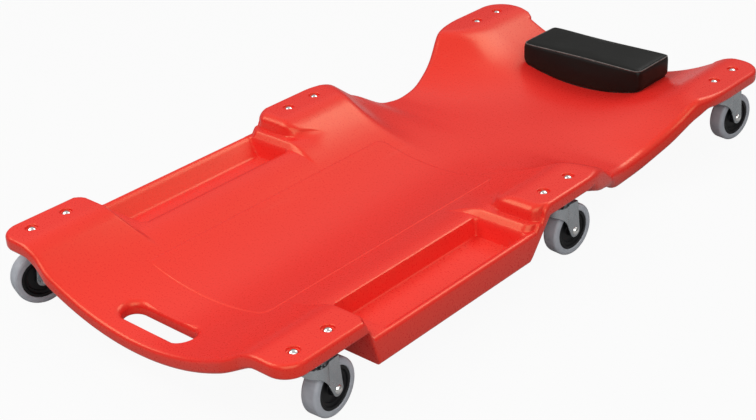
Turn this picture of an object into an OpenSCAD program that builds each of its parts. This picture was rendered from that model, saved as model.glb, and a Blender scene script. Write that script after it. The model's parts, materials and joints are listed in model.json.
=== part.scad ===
// Mechanic creeper: a moulded lying deck with a padded headrest on six swivel casters.
// Frame: X across the deck, +Y toward the head end, Z up. The origin is on the floor under
// the middle of the deck.

/* [Deck] */
// Overall length of the deck
deck_l = 978; // [950:1:1040]
// Overall width of the deck across the caster pads
deck_w = 478; // [472:1:510]
// Height of the lowest line of the bed above the floor
bed_z = 50; // [47:0.5:53]
// Width of the pads, from the side of the deck to the crest of the trough
pad_w = 58.9; // [57:0.1:62]
// Thickness of the deck at the caster pads
pad_t = 18; // [15:0.5:22]
// Thickness of the deck along the bed
bed_t = 17; // [14:0.5:19]
// Rounding of the deck's outer edges
edge_r = 5; // [3:0.5:6]
// Length of the foot pads along the deck
foot_pad_l = 121; // [112:1:128]
// Outer corner radius of the foot pads
foot_corner_r = 28; // [20:1:34]
// Outer corner radius of the head pads
head_corner_r = 38; // [28:1:44]
// How far the foot edge stands out past the foot pads
tongue_l = 5; // [2:1:12]
// How far the head pads stand out past the head edge of the bed
head_horn_l = 9; // [4:1:14]
// Size of the blend where the bed meets a pad or a tray rim
blend_r = 10; // [4:0.5:14]

/* [Waist] */
// Length of the mid pads, from the ledge at the pockets to the waist
mid_pad_l = 87; // [83:1:96]
// Length of the head pads, from the waist to the head edge
head_pad_l = 99; // [92:1:110]
// How far each side is drawn in at the waist
waist_in = 42.3; // [30:0.5:55]

/* [Trays] */
// Height of the tray rims above the floor
tray_z = 76.5; // [72:0.5:81]
// Distance from the foot edge to the pockets
pocket_in = 157; // [154:1:180]
// Length of each pocket at its rim
pocket_l = 255; // [220:1:258]
// Distance from the side of the deck to the pockets
pocket_side = 11; // [8:0.5:13]
// Width of each pocket at its rim
pocket_w = 72.5; // [60:0.5:73]
// Depth of the pockets
pocket_d = 22; // [14:0.5:24]
// How far the pocket walls lean in from rim to floor
pocket_draft = 5; // [3:0.5:8]
// Height of the tray undersides above the floor
tray_under_z = 39.5; // [32:0.5:42]

/* [Hand slot and panel] */
// Length of the hand slot across the deck
slot_l = 110; // [95:1:120]
// Width of the hand slot along the deck
slot_w = 31; // [26:1:36]
// Distance from the foot edge to the middle of the hand slot
slot_in = 41.5; // [38:0.5:46]
// Size of the bevel round the top of the hand slot
slot_lip = 4; // [2:0.5:5]
// Width of the raised back panel
panel_w = 194; // [170:1:210]
// Length of the raised back panel
panel_l = 418; // [380:1:430]
// Distance from the foot edge to the raised back panel
panel_in = 112; // [104:1:118]
// Height of the step round the raised back panel
panel_step = 0.8; // [0.4:0.1:1.5]

/* [Headrest] */
// Width of the headrest pad across the deck
rest_w = 208; // [180:1:214]
// Length of the headrest pad along the deck
rest_l = 88; // [76:1:94]
// Height of the headrest pad's top above the floor
rest_z = 101; // [95:0.5:108]
// Distance from the head edge of the deck to the headrest pad
rest_in = 29; // [26:1:36]
// Corner radius of the headrest pad
rest_corner_r = 12; // [8:0.5:20]
// Height of the crown on top of the headrest pad
rest_crown = 3; // [1:0.5:6]
// How far the sides of the headrest pad are drawn in at its seam
rest_pinch = 1.5; // [0.5:0.5:3]
// Thickness of the headrest cover
cover_t = 1.5; // [1:0.1:2.5]
// Thickness of the headrest board
board_t = 5; // [4:0.5:7]
// Diameter of the headrest screws
rest_screw_d = 4.2; // [3.5:0.1:5]
// Distance between the headrest screws across the deck
rest_screw_x = 120; // [90:1:140]
// Distance between the headrest screws along the deck
rest_screw_y = 41; // [30:1:46]

/* [Casters] */
// Height from the floor to the underside of the caster pads
caster_h = 85.5; // [85:0.5:91]
// Diameter of the caster wheels
wheel_d = 68; // [62:0.5:69]
// Width of the caster treads
wheel_w = 21; // [17:0.5:22]
// Distance from the swivel axis to the wheel axle
trail = 22; // [18:0.5:24]
// Distance from the crest of the trough to the swivel axes: foot, mid and head
caster_out_x = [34.6, 33.2, 27.2]; // [26:0.1:37]
// Distance to the swivel axes from the foot edge, the front of the mid pads and the head edge
caster_in_y = [64.5, 66, 64.5]; // [62:0.5:68]
// Swivel angle of each caster as it stands: foot, mid and head left, then the same right
swing = [252, 96, 92, 94, 84, 81]; // [0:1:359]
// Distance between the two bolts of a caster
bolt_gap = 51; // [50:0.5:56]
// Diameter of the deck bolts
bolt_d = 6; // [5:0.1:6.4]
// Width of the mounting plates
plate_w = 36; // [34:0.5:38]
// Thickness of the mounting plates
plate_t = 2.5; // [2:0.1:3]
// Thickness of the fork sheet
fork_t = 2; // [1.5:0.1:2.5]
// Inner width between the fork legs
fork_gap = 24; // [23:0.5:26]
// Diameter of the axle bolts
axle_d = 6; // [5:0.1:7]

/* [Hidden] */
$fn = 64;

// Overrun of every cut past the face that it opens
over = 1;
// Gap between pieces that rest against each other without a fit
rest_gap = 0.3;
// Radial play of every shaft in its hole
play = 0.08;

half_l = deck_l / 2;
half_w = deck_w / 2;
pad_z = caster_h + pad_t;
under_z = bed_z - bed_t;
// Radius of the trough, from its crest where it reaches the height of the pads
crest_x = half_w - pad_w;
bed_r = (crest_x * crest_x + (pad_z - bed_z) * (pad_z - bed_z)) / (2 * (pad_z - bed_z));
under_r = bed_r + bed_t;

// Outline of the deck, foot end
foot_y = -half_l;
foot_pad_y = foot_y + tongue_l;
tongue_start_in = 99;
tongue_end_in = 67;
tongue_start_x = half_w - tongue_start_in;
tongue_end_x = half_w - tongue_end_in;
// Outline of the deck, head end
head_y = half_l;
horn_in = 76;
horn_x = half_w - horn_in;
horn_run = 9;
// Length of deck over which the grid lines bend to follow the ends
end_run = 56;

// Stations along the deck
foot_slope_y = foot_pad_y + foot_pad_l;
foot_slope_l = 16;
pocket_y = foot_y + pocket_in;
pocket_x = half_w - pocket_side - pocket_w;
ledge_l = 20;
mid_pad_y = pocket_y + pocket_l + ledge_l;
// Ledge between each pocket and the front of the mid pad
ledge_h = 8;
ledge_run = 9;
ledge_gap = 1;
ledge_y = pocket_y + pocket_l + ledge_gap;
ledge_z = tray_z + ledge_h;
ledge_back_share = 1.5;
// Front of the mid pads: a steep face with a rounded top edge, and corners rounded in plan
face_out = 4;
face_y = mid_pad_y - face_out;
face_run = 1;
face_share = 0.58;
face_round_l = 7;
corner_out_r = 14;
corner_out_in = 17;
corner_out_x = half_w - corner_out_in;
corner_in_r = 28;
corner_in_past = 5;
corner_in_x = crest_x + corner_in_past;
corner_in_most = 30;
corner_bend_share = 0.8;
corner_lean_share = 0.5;
corner_fade_l = 48;
waist_y = mid_pad_y + mid_pad_l;
// Head end of the mid pads, which falls away on a long curve
mid_end_in = 32;
mid_end_y = waist_y + mid_end_in;
mid_end_r = 48;
mid_end_l = 120;
mid_end_fade = 60;
waist_l = head_y - head_pad_l - waist_y;
panel_y = foot_y + panel_in;
step_run = 1.2;
// The long edges are rounded more along the waist, from one end of it to the other
waist_edge_r = 10;
waist_edge_in = 10;
waist_edge_run = 35;
head_edge_out = 75;
head_edge_run = 70;
tray_in = 24.5;
tray_in_x = pocket_x - tray_in;
// Walls of the tray underside
tray_wall_in = 15.5;
tray_wall_x = pocket_x - tray_wall_in;
tray_wall_run = 9;
tray_foot_wall_in = 30;
tray_foot_wall_run = 14;
tray_head_wall_run = 38;

// The waist as shares: place along it, draw-in of the side, rise of the bed toward the
// side, and the same rise of the underside
waist_shares = [
    [0.000, 0.000,  1.00,  1.00],
    [0.040, 0.000,  1.00,  1.00],
    [0.085, 0.020,  1.00,  0.54],
    [0.120, 0.075,  0.80,  0.45],
    [0.150, 0.120,  0.62,  0.41],
    [0.180, 0.165,  0.49,  0.39],
    [0.220, 0.260,  0.37,  0.33],
    [0.280, 0.590,  0.22,  0.20],
    [0.340, 0.840,  0.06,  0.02],
    [0.390, 0.935,  0.01, -0.16],
    [0.460, 0.970, -0.02, -0.19],
    [0.560, 0.920,  0.05, -0.12],
    [0.640, 0.785,  0.19,  0.04],
    [0.720, 0.595,  0.37,  0.23],
    [0.800, 0.335,  0.60,  0.48],
    [0.870, 0.105,  0.83,  0.63],
    [0.940, 0.020,  0.96,  0.92],
    [1.000, 0.000,  1.00,  1.00]];

// Bolts, their recesses and nuts
bolt_play = 0.3;
bolt_head_r = 5.25;
bolt_head_h = 3.3;
bolt_recess_r = 7.5;
bolt_recess_d = 3.5;
nut_af = 10;
nut_h = 5;
bolt_tail = 1;

// Headrest board, its screws and the gap round the board inside the cover
board_in = 2.5;
foam_gap = 0.3;
foam_side_gap = 0.3;
screw_head_r = 4.2;
screw_head_h = 2.4;
screw_recess_r = 5.5;
screw_recess_z = under_z + 9;
screw_bite = 4;
corner_steps = 4;
rest_steps_x = 8;
rest_steps_y = 3;

// Mounting plate and its pressed race
plate_lug = 8.5;
plate_corner_r = 8;
dish_top_r = 19;
dish_floor_r = 16.5;
dish_drop = 4;
// Ball races and the rivet through them
ball_d = 3.6;
ball_ring_r = 12.5;
ball_count = 12;
low_ball_d = 3.2;
low_ring_r = 7;
low_count = 9;
ball_play = 0.1;
race_r = 17;
kingpin_d = 7;
rivet_r = 5.5;
rivet_t = 2;
cup_r = 9.8;
cup_t = 1.4;
cup_rim = 1;
cup_depth = 2.8;
// Fork legs
leg_r = 8;
leg_front_share = 0.55;
nose_low = 12;
leg_bend_share = 0.12;
leg_bend_drop = 5;
leg_side_run = 3;
// Axle
axle_head_r = 5.2;
axle_head_h = 3.6;
axle_nut_h = 5;
axle_tail = 1.2;
sleeve_t = 1.5;
side_play = 0.1;
// Wheel
tread_t = 8.5;
shoulder_r = 4;
seat_gap = 0.05;
rim_t = 3.5;
rim_in = 1;
boss_t = 3.4;
boss_play = 0.3;
web_t = 4;
rib_t = 1.8;
rib_in = 3;
rib_count = 8;

// Heights of the swivel, from the pad down
plate_z = caster_h - plate_t - seat_gap;
race_z = plate_z - dish_drop;
crown_z = race_z - ball_play - ball_d - rest_gap;
crown_low_z = crown_z - fork_t;
cup_floor_z = crown_low_z - rest_gap - low_ball_d - ball_play;
cup_low_z = cup_floor_z - cup_t;
axle_z = wheel_d / 2;
rim_r = wheel_d / 2 - tread_t;
bore_r = axle_d / 2 + play;

function clamp01(t) = max(0, min(1, t));
function ramp(a, b, t) = let (s = clamp01((t - a) / (b - a))) s * s * (3 - 2 * s);
function round_up(a, b, t) = let (s = clamp01((t - a) / (b - a))) sqrt(1 - (1 - s) * (1 - s));
function bowl(r, x) = r - sqrt(r * r - x * x);
// Smaller of two heights, with a soft crease of size r between them
function soft_min(a, b, r) = let (h = max(r - abs(a - b), 0) / r) min(a, b) - h * h * r / 4;
function span(a, b, n) = [for (i = [0:n - 1]) a + (b - a) * i / n];
// Numbers in rising order, less those closer together than d
function sorted(v, d) = len(v) < 2 ? v :
    let (p = v[0], low = [for (e = v) if (e < p - d) e], high = [for (e = v) if (e > p + d) e])
    concat(sorted(low, d), [p], sorted(high, d));

// Value in column c of a table at place t, on a smooth curve through the table's points
function seg(tab, t, i = 0) = i >= len(tab) - 2 || t < tab[i + 1][0] ? i : seg(tab, t, i + 1);
function slope(tab, c, i) =
    let (a = max(i - 1, 0), b = min(i + 1, len(tab) - 1))
    (tab[b][c] - tab[a][c]) / (tab[b][0] - tab[a][0]);
function curve(tab, c, t) =
    let (i = seg(tab, t), w = tab[i + 1][0] - tab[i][0], s = clamp01((t - tab[i][0]) / w),
         p = tab[i][c], q = tab[i + 1][c], m = slope(tab, c, i) * w, n = slope(tab, c, i + 1) * w)
    p * (1 + 2 * s) * (1 - s) * (1 - s) + m * s * (1 - s) * (1 - s)
    + q * s * s * (3 - 2 * s) - n * s * s * (1 - s);
function waist(c, y) = let (s = (y - waist_y) / waist_l)
    s <= 0 || s >= 1 ? waist_shares[0][c] : curve(waist_shares, c, s);

// Half width of the deck at y, and the rounding of its edge there
function side_x(y) = half_w - waist_in * waist(1, y);
function edge_at(y) = edge_r + (waist_edge_r - edge_r)
    * ramp(waist_y + waist_edge_in, waist_y + waist_edge_in + waist_edge_run, y)
    * (1 - ramp(waist_y + waist_l - head_edge_out, waist_y + waist_l - head_edge_out + head_edge_run, y));

// Point of an end edge over grid column x, drawn in by d from the outline, where e is the
// edge's own line there, s its direction and r the radius of its corners
function end_point(x, r, d, e, s) =
    let (a = 90 * clamp01((abs(x) - half_w + r) / (r - d)), k = r - d)
    a <= 0 ? [x, e + s * d] : [sign(x) * (half_w - r + k * sin(a)), e + s * (d + k * (1 - cos(a)))];
function foot_point(x, d) = end_point(x, foot_corner_r, d,
    foot_y + tongue_l * ramp(tongue_start_x, tongue_end_x, abs(x)), 1);
function head_point(x, d) = end_point(x, head_corner_r, d,
    head_y - head_horn_l * (1 - ramp(horn_x, horn_x + horn_run, abs(x))), -1);

// How far the corners of the mid pads' front stand back at x: outer and inner
function corner_out(x) = bowl(corner_out_r, max(abs(x) - corner_out_x, 0));
function corner_in(x) =
    let (past = max(corner_in_x - abs(x), 0), bend = corner_in_r * corner_bend_share,
         steep = corner_bend_share / sqrt(1 - corner_bend_share * corner_bend_share))
    min(bowl(corner_in_r, min(past, bend)) + max(past - bend, 0) * steep, corner_in_most);
// Height of the ceiling that the pads, ledges and tray rims set over the trough
function ledge_at(x, y) = let (t = y - corner_out(x) * ledge_back_share - ledge_y)
    t <= 0 ? tray_z : min(ledge_z, soft_min(tray_z + ledge_h * t / ledge_run, ledge_z, ledge_h / 4));
function face_at(x, y) =
    let (lean = (corner_out(x) + corner_in(x) * 2) * corner_lean_share,
         t = y - corner_out(x) - corner_in(x) * corner_lean_share - face_y, run = face_run + lean)
    face_share * clamp01(t / run)
    + (1 - face_share) * round_up(run, run + face_round_l + lean / 3, t);
function mid_end(y) = min(pad_z - tray_z, max(y - mid_end_y, 0) * max(y - mid_end_y, 0) / mid_end_r / 2)
    * (1 - ramp(mid_end_y + mid_end_l, mid_end_y + mid_end_l + mid_end_fade, y));
function ceiling_z(x, y) = pad_z - mid_end(y) - (pad_z - ledge_at(x, y)) * (1 - face_at(x, y))
    * ramp(foot_slope_y, foot_slope_y + foot_slope_l, y + corner_out(x));
function between(a, b, run_a, run_b, t) = min(clamp01((t - a) / run_a), clamp01((b - t) / run_b));
function pocket_at(x, y) = pocket_d
    * between(pocket_x, pocket_x + pocket_w, pocket_draft, pocket_draft, abs(x))
    * between(pocket_y, pocket_y + pocket_l, pocket_draft, pocket_draft, y);
function panel_at(x, y) = panel_step
    * clamp01((panel_w / 2 - abs(x)) / step_run)
    * between(panel_y, panel_y + panel_l, step_run, step_run, y);

// Height of the top of the deck
function top_z(x, y) =
    soft_min(bed_z + waist(2, y) * bowl(bed_r, x), ceiling_z(x, y), blend_r)
    - pocket_at(x, y) + panel_at(x, y);
// Height of its underside
function under_at(x, y) =
    let (bed = soft_min(under_z + waist(3, y) * bowl(under_r, x), caster_h, bed_t / 4),
         tray = between(pocket_y - tray_foot_wall_in, mid_pad_y + tray_head_wall_run / 2,
                        tray_foot_wall_run, tray_head_wall_run, y)
                * ramp(tray_wall_x, tray_wall_x + tray_wall_run, abs(x)))
    bed - (bed - tray_under_z) * tray;

// Grid lines of the deck's surface, across and along
half_cols = sorted(concat(span(0, panel_w / 2 - step_run, 6), [panel_w / 2 - step_run],
    span(panel_w / 2, tray_in_x, 2), span(tray_in_x, pocket_x, 3), [pocket_x],
    span(pocket_x + pocket_draft, pocket_x + pocket_w - pocket_draft, 3),
    [pocket_x + pocket_w - pocket_draft, pocket_x + pocket_w],
    [crest_x + min(caster_out_x) - plate_w / 2, horn_x + horn_run],
    [(pocket_x + pocket_w + half_w - edge_r) / 2, half_w - edge_r]), rest_gap);
rows = sorted(concat(span(foot_y + edge_r, panel_y, 5), [panel_y, panel_y + step_run],
    span(foot_slope_y, foot_slope_y + foot_slope_l, 3), [foot_slope_y + foot_slope_l],
    [pocket_y], span(pocket_y + pocket_draft, pocket_y + pocket_l - pocket_draft, 3),
    [pocket_y + pocket_l - pocket_draft, pocket_y + pocket_l],
    [for (s = [0.5, 1, 1.3]) ledge_y + ledge_run * s], [face_y],
    [for (s = [0, 0.1, 0.35, 1]) face_y + face_run + face_round_l * s],
    [for (s = [0.3, 0.6, 1]) mid_pad_y + face_out + corner_fade_l * s],
    [panel_y + panel_l - step_run, panel_y + panel_l, caster_y(1) + bolt_gap / 2 + plate_lug],
    span(waist_y, waist_y + waist_l, 18), [waist_y + waist_l],
    span(waist_y + waist_l, head_y - edge_r, 3), [head_y - edge_r]), rest_gap);

function mirrored(c) = concat([for (i = [len(c) - 1:-1:1]) -c[i]], c);

// How far the grid bends with the corners of the mid pads' front
function bend_at(x, y) = (1 - ramp(mid_pad_y + face_out, mid_pad_y + face_out + corner_fade_l, y))
    * (corner_out(x) * clamp01((y - pocket_y - pocket_l) / ledge_gap)
    + corner_in(x) * clamp01((y - ledge_y - ledge_run) / face_out));

// A closed body between two surfaces on one grid, with a rounded edge of radius r
module slab(cols, rows, r) {
    nc = len(cols);
    nr = len(rows);
    foot_end = rows[0] + end_run;
    head_end = rows[nr - 1] - end_run;
    function at(i, j) = let (x = cols[i], y = rows[j])
        y < foot_end ? let (e = foot_point(x, r)) e + ([x, foot_end] - e) * (y - rows[0]) / end_run
        : y > head_end ? let (e = head_point(x, r)) e + ([x, head_end] - e) * (rows[nr - 1] - y) / end_run
        : let (px = x * (side_x(y) - edge_at(y)) / (half_w - r)) [px, y + bend_at(px, y)];
    flat = [for (j = [0:nr - 1]) for (i = [0:nc - 1]) at(i, j)];
    upper = [for (p = flat) [p[0], p[1], top_z(p[0], p[1])]];
    lower = [for (p = flat) [p[0], p[1], under_at(p[0], p[1])]];
    ring = concat([for (i = [0:nc - 2]) i], [for (j = [0:nr - 2]) j * nc + nc - 1],
        [for (i = [nc - 1:-1:1]) (nr - 1) * nc + i], [for (j = [nr - 1:-1:1]) j * nc]);
    n = len(ring);
    out = [for (k = [0:n - 1])
        let (t = flat[ring[(k + 1) % n]] - flat[ring[(k + n - 1) % n]], m = norm(t))
        [t[1] / m, -t[0] / m]];
    e = [for (k = [0:n - 1]) edge_at(flat[ring[k]][1])];
    function moved(p, k, d, h) = [p[0] + out[k][0] * d, p[1] + out[k][1] * d, p[2] + h];
    edge = concat(
        [for (k = [0:n - 1]) moved(upper[ring[k]], k, e[k] * sin(45), -e[k] * (1 - cos(45)))],
        [for (k = [0:n - 1]) moved(upper[ring[k]], k, e[k], -e[k])],
        [for (k = [0:n - 1]) moved(lower[ring[k]], k, e[k], e[k])]);
    g = nc * nr;
    rings = [ring, [for (k = [0:n - 1]) 2 * g + k], [for (k = [0:n - 1]) 2 * g + n + k],
        [for (k = [0:n - 1]) 2 * g + 2 * n + k], [for (k = ring) g + k]];
    faces = concat(
        [for (j = [0:nr - 2]) for (i = [0:nc - 2]) let (a = j * nc + i, b = a + nc)
            each [[a, b, b + 1], [a, b + 1, a + 1]]],
        [for (j = [0:nr - 2]) for (i = [0:nc - 2]) let (a = g + j * nc + i, b = a + nc)
            each [[a, b + 1, b], [a, a + 1, b + 1]]],
        [for (q = [0:3]) for (k = [0:n - 1]) let (k2 = (k + 1) % n, a = rings[q], b = rings[q + 1])
            each [[a[k], a[k2], b[k2]], [a[k], b[k2], b[k]]]]);
    polyhedron(concat(upper, lower, edge), faces);
}

// Places of the casters and their bolts
function caster_x(i) = (i < 3 ? -1 : 1) * (crest_x + caster_out_x[i % 3]);
function caster_y(i) = i % 3 == 0 ? foot_y + caster_in_y[0]
    : i % 3 == 1 ? mid_pad_y + caster_in_y[1] : head_y - caster_in_y[2];
module at_pad(i) translate([caster_x(i), caster_y(i), 0]) children();
module at_caster(i) at_pad(i) rotate([0, 0, swing[i]]) children();
module at_bolts(i) at_pad(i) for (s = [-1, 1]) translate([0, s * bolt_gap / 2, 0]) children();

module slot_plan() {
    square([slot_l - slot_w, slot_w], center = true);
    for (s = [-1, 1]) translate([s * (slot_l - slot_w) / 2, 0]) circle(d = slot_w);
}
// Bevel of the hand slot, bent to follow the trough
module slot_bevel() {
    bend = asin((slot_l - slot_w) / 2 / bed_r);
    translate([0, foot_y + slot_in, bed_z + bed_r])
    hull() for (s = [-1:0.5:1]) rotate([0, -s * bend, 0]) translate([0, 0, -bed_r - slot_lip])
        cylinder(r1 = slot_w / 2, r2 = slot_w / 2 + slot_lip + over, h = slot_lip + over, $fn = 32);
}

// Places of the headrest and its screws
rest_y = head_y - rest_in - rest_l / 2;
module at_rest_screws() for (sx = [-1, 1]) for (sy = [-1, 1])
    translate([sx * rest_screw_x / 2, rest_y + sy * rest_screw_y / 2, 0]) children();
function bed_at(x) = bed_z + bowl(bed_r, x);

module deck_shell() {
    color([0.85, 0.16, 0.12])
    difference() {
        slab(mirrored(half_cols), rows, edge_r);
        translate([0, foot_y + slot_in, 0]) linear_extrude(height = pad_z) slot_plan();
        slot_bevel();
        for (i = [0:5]) at_bolts(i) {
            cylinder(d = bolt_d + 2 * bolt_play, h = pad_z + over);
            translate([0, 0, pad_z - bolt_recess_d]) cylinder(r = bolt_recess_r, h = bolt_recess_d + over);
        }
        at_rest_screws() {
            cylinder(d = rest_screw_d + 2 * play, h = pad_z);
            cylinder(r = screw_recess_r, h = screw_recess_z);
        }
    }
}

// A low dome of radius r and height h over a flat base
module dome(r, h) {
    ball = (r * r + h * h) / (2 * h);
    intersection() {
        translate([0, 0, h - ball]) sphere(r = ball);
        cylinder(r = r, h = h);
    }
}

module deck_bolts() {
    color([0.82, 0.82, 0.8])
    for (i = [0:5]) at_bolts(i) {
        translate([0, 0, pad_z - bolt_recess_d]) dome(bolt_head_r, bolt_head_h);
        translate([0, 0, plate_z - nut_h - bolt_tail])
        cylinder(d = bolt_d, h = pad_z - bolt_recess_d - plate_z + nut_h + bolt_tail);
    }
}

module hex_nut(af, h, r) {
    difference() {
        cylinder(r = af / 2 / cos(30), h = h, $fn = 6);
        translate([0, 0, -over]) cylinder(r = r, h = h + 2 * over);
    }
}

module deck_nuts() {
    color([0.62, 0.63, 0.64])
    for (i = [0:5]) at_bolts(i) translate([0, 0, plate_z - nut_h])
        hex_nut(nut_af, nut_h, bolt_d / 2 + seat_gap);
}

// Half of a rounded rectangle's corner and edge steps, then all four turned round
function rest_outline(a, b, r) = [for (q = [0:3])
    let (sx = q == 0 || q == 3 ? 1 : -1, sy = q < 2 ? 1 : -1,
         len_next = q % 2 == 0 ? 2 * (a - r) : 2 * (b - r),
         steps = q % 2 == 0 ? rest_steps_x : rest_steps_y)
    each concat(
        [for (i = [0:corner_steps]) let (t = 90 * (q + i / corner_steps))
            [sx * (a - r) + r * cos(t), sy * (b - r) + r * sin(t)]],
        [for (i = [1:steps - 1]) let (t = 90 * (q + 1), d = len_next * i / steps)
            [sx * (a - r) + r * cos(t) - d * sin(t), sy * (b - r) + r * sin(t) + d * cos(t)]])];

// The side of the cushion as shares: draw-in, and height between its underside and its top
side_shares = [[0.9, 0], [0.3, 0.2], [0, 0.45], [0.25, 0.7], [1, 0.84], [0.7, 0.9], [1.4, 0.97]];
// Its crown as shares: size of each ring, and drop from the middle
crown_shares = [[0.94, 0.6], [0.8, 0.3], [0.5, 0.08]];

// Closed cushion form, d inside the outside of the cover and its sides by side more, with its
// underside low above the bed
module cushion(d, low, side = 0) {
    e = d + side;
    plan = rest_outline(rest_w / 2 - e, rest_l / 2 - e, rest_corner_r - e);
    n = len(plan);
    a = rest_w / 2;
    b = rest_l / 2;
    top = rest_z - d;
    function under(p) = bed_at(p[0]) + low;
    function ring(s, u, h, top_level) = [for (p = plan)
        let (q = [p[0] * (s - u / a), p[1] * (s - u / b)]) [q[0], q[1] + rest_y,
            top_level ? top - rest_crown * h : under(q) + (top - rest_crown - under(q)) * h]];
    points = concat([[0, rest_y, bed_z + low]], ring(0.5, 0, 0, false),
        [for (r = side_shares) each ring(1, rest_pinch * r[0], r[1], false)],
        [for (r = crown_shares) each ring(r[0], 0, r[1], true)], [[0, rest_y, top]]);
    m = len(side_shares) + len(crown_shares) + 1;
    last = len(points) - 1;
    faces = concat(
        [for (k = [0:n - 1]) [0, 1 + k, 1 + (k + 1) % n]],
        [for (j = [0:m - 2]) for (k = [0:n - 1])
            let (p = 1 + j * n + k, q = 1 + j * n + (k + 1) % n)
            each [[p, p + n, q + n], [p, q + n, q]]],
        [for (k = [0:n - 1]) [last, 1 + (m - 1) * n + (k + 1) % n, 1 + (m - 1) * n + k]]);
    polyhedron(points, faces);
}

module headrest_cover() {
    color([0.1, 0.1, 0.1])
    difference() {
        cushion(0, rest_gap);
        cushion(cover_t, -over);
    }
}

module headrest_foam() {
    color([0.86, 0.8, 0.6])
    cushion(cover_t + foam_gap, rest_gap + board_t + foam_gap, foam_side_gap);
}

// A rectangle with round corners
module round_plan(w, l, r) {
    square([w - 2 * r, l], center = true);
    square([w, l - 2 * r], center = true);
    for (sx = [-1, 1]) for (sy = [-1, 1])
        translate([sx * (w / 2 - r), sy * (l / 2 - r)]) circle(r = r);
}

module headrest_board() {
    board_side = cover_t + board_in;
    color([0.66, 0.5, 0.32])
    difference() {
        intersection() {
            translate([0, rest_y, bed_z]) linear_extrude(height = rest_z - bed_z)
            round_plan(rest_w - 2 * board_side, rest_l - 2 * board_side, rest_corner_r - board_side);
            translate([0, head_y, bed_z + bed_r]) rotate([90, 0, 0])
            difference($fn = 360) {
                cylinder(r = bed_r - rest_gap, h = 2 * rest_l);
                translate([0, 0, -over]) cylinder(r = bed_r - rest_gap - board_t, h = 2 * (rest_l + over));
            }
        }
        at_rest_screws() translate([0, 0, bed_z]) cylinder(d = rest_screw_d + 2 * play, h = rest_z - bed_z);
    }
}

module headrest_screws() {
    head_z = screw_recess_z - screw_head_h;
    color([0.7, 0.7, 0.7])
    at_rest_screws() translate([0, 0, head_z]) {
        cylinder(r = screw_head_r, h = screw_head_h);
        cylinder(d = rest_screw_d, h = bed_at(rest_screw_x / 2) + screw_bite - head_z);
    }
}

// Caster parts: the swivel axis is the Z axis and the wheel trails toward +X
module caster_plate() {
    color([0.75, 0.76, 0.77])
    difference() {
        union() {
            translate([0, 0, plate_z]) linear_extrude(height = plate_t)
            round_plan(plate_w, bolt_gap + 2 * plate_lug, plate_corner_r);
            translate([0, 0, race_z]) cylinder(r1 = dish_floor_r, r2 = dish_top_r, h = dish_drop);
        }
        translate([0, 0, race_z + plate_t])
        cylinder(r1 = dish_floor_r - plate_t, r2 = dish_top_r - plate_t, h = dish_drop);
        translate([0, 0, race_z + plate_t + dish_drop - over])
        cylinder(r = dish_top_r - plate_t, h = 2 * over);
        translate([0, 0, race_z - over]) cylinder(d = kingpin_d + 2 * seat_gap, h = plate_t + 2 * over);
        for (s = [-1, 1]) translate([0, s * bolt_gap / 2, plate_z - over])
            cylinder(d = bolt_d + 2 * bolt_play, h = plate_t + 2 * over);
    }
}

module kingpins() {
    color([0.7, 0.71, 0.72])
    for (i = [0:5]) at_pad(i) {
        translate([0, 0, cup_low_z - rivet_t]) cylinder(r = rivet_r, h = rivet_t);
        translate([0, 0, cup_low_z - rivet_t])
        cylinder(d = kingpin_d, h = race_z + plate_t + rivet_t - cup_low_z + rivet_t);
        translate([0, 0, race_z + plate_t]) cylinder(r = rivet_r, h = rivet_t);
    }
}

module ball_race(r, d, n, z) {
    for (a = [0:n - 1]) rotate([0, 0, a * 360 / n]) translate([r, 0, z]) sphere(d = d);
}

module upper_balls() {
    color([0.8, 0.8, 0.82])
    for (i = [0:5]) at_pad(i) ball_race(ball_ring_r, ball_d, ball_count, race_z - ball_play - ball_d / 2);
}

module lower_balls() {
    color([0.8, 0.8, 0.82])
    for (i = [0:5]) at_pad(i)
        ball_race(low_ring_r, low_ball_d, low_count, cup_floor_z + ball_play + low_ball_d / 2);
}

module lower_cups() {
    color([0.75, 0.76, 0.77])
    for (i = [0:5]) at_pad(i) difference() {
        translate([0, 0, cup_low_z]) cylinder(r = cup_r, h = cup_t + cup_depth);
        translate([0, 0, cup_floor_z]) cylinder(r = cup_r - cup_rim, h = cup_depth + over);
        translate([0, 0, cup_low_z - over]) cylinder(d = kingpin_d + 2 * seat_gap, h = cup_t + 2 * over);
    }
}

module fork_plan(r) {
    circle(r = r);
    translate([0, -r]) square([trail + leg_r, 2 * r]);
}

// Side outline of the fork, with its lower edge rising from the axle to the nose
module fork_side() {
    nose = fork_gap / 2 + fork_t + over;
    polygon([[-nose, crown_z], [trail + leg_side_run, crown_z], [trail + leg_r, axle_z],
        [trail, axle_z],
        [trail - leg_r * leg_front_share, axle_z - leg_r * sqrt(1 - leg_front_share * leg_front_share)],
        [trail * leg_bend_share, crown_z - nose_low - leg_bend_drop], [-nose, crown_z - nose_low]]);
    translate([trail, axle_z]) circle(r = leg_r);
}

module caster_fork() {
    color([0.78, 0.79, 0.8])
    difference() {
        union() {
            intersection() {
                difference() {
                    linear_extrude(height = crown_z) fork_plan(fork_gap / 2 + fork_t);
                    translate([0, 0, -over]) linear_extrude(height = crown_low_z + over) {
                        fork_plan(fork_gap / 2);
                        translate([trail, -fork_gap / 2]) square([leg_r + over, fork_gap]);
                    }
                }
                translate([0, trail, 0]) rotate([90, 0, 0]) linear_extrude(height = 2 * trail) fork_side();
            }
            translate([0, 0, crown_low_z]) cylinder(r = race_r, h = fork_t);
        }
        translate([0, 0, crown_low_z - over]) cylinder(d = kingpin_d + 2 * play, h = fork_t + 2 * over);
        translate([trail, trail, axle_z]) rotate([90, 0, 0]) cylinder(r = bore_r, h = 2 * trail);
    }
}

// Turns a part about Z into one about the axle
module on_axle() translate([trail, 0, axle_z]) rotate([90, 0, 0]) children();

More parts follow.
